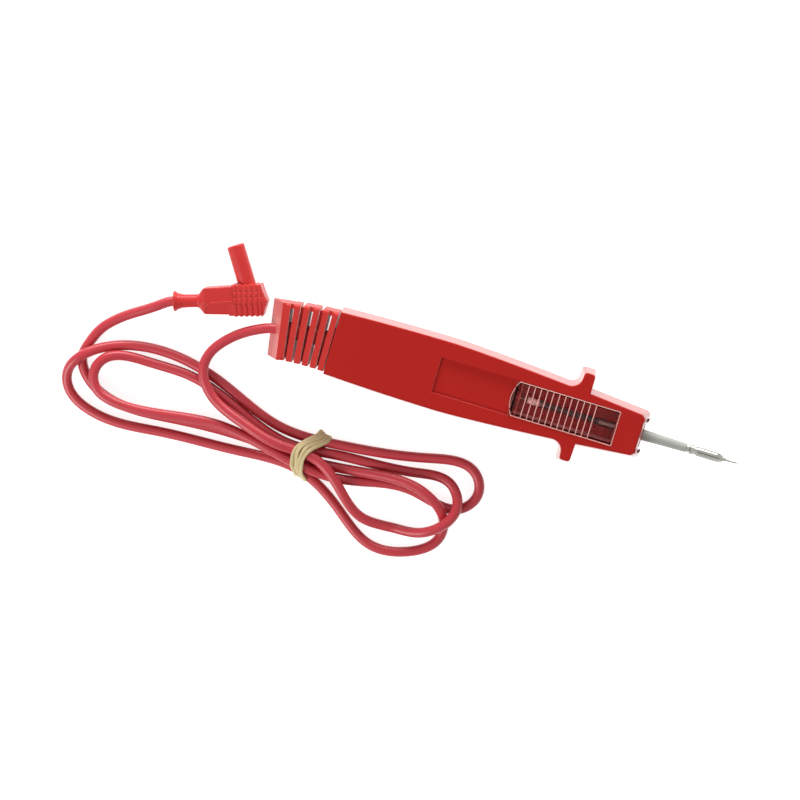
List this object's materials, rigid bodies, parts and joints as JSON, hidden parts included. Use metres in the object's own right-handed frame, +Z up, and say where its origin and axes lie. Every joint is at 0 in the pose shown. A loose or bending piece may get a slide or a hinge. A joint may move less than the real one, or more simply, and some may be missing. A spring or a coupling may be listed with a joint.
{
  "type": "test probe",
  "caption": "Flat hand-held test probe with a ribbed window, finger guards, a needle tip with a spring cage, and a limp lead in a banded hank ending in an angled shrouded plug",
  "frame": {"origin": "Middle of the probe's length and width, on the surface that the probe lies on", "axes": "+X along the probe towards its needle tip, +Y across the flat face, +Z up out of the face with the window"},
  "size_m": [0.2877, 0.1127, 0.0167],
  "materials": {
    "casing": "gloss",
    "lens": "gloss",
    "strain_relief": "satin",
    "sleeve": "satin",
    "steel": "polished",
    "resistor": "satin",
    "copper": "satin",
    "lead": "satin",
    "band": "matte",
    "plug": "satin"
  },
  "bodies": {
    "root": {"front_shell": "casing", "back_shell": "casing", "window_lens": "lens", "strain_relief": "strain_relief", "nose_bush": "casing", "tip_sleeve": "sleeve", "tip_collar": "steel", "tip_cage": "steel", "tip_pin": "steel", "resistor": "resistor", "resistor_cap_front": "steel", "resistor_cap_back": "steel", "wire_ferrule": "steel", "bare_wire": "copper", "inner_lead": "lead", "housing_screws": "steel", "lead": "lead", "rubber_band": "band", "plug_housing": "plug", "plug_cover": "plug", "plug_boot": "lead", "plug_pin": "steel", "plug_cage": "steel"}
  },
  "joints": []
}
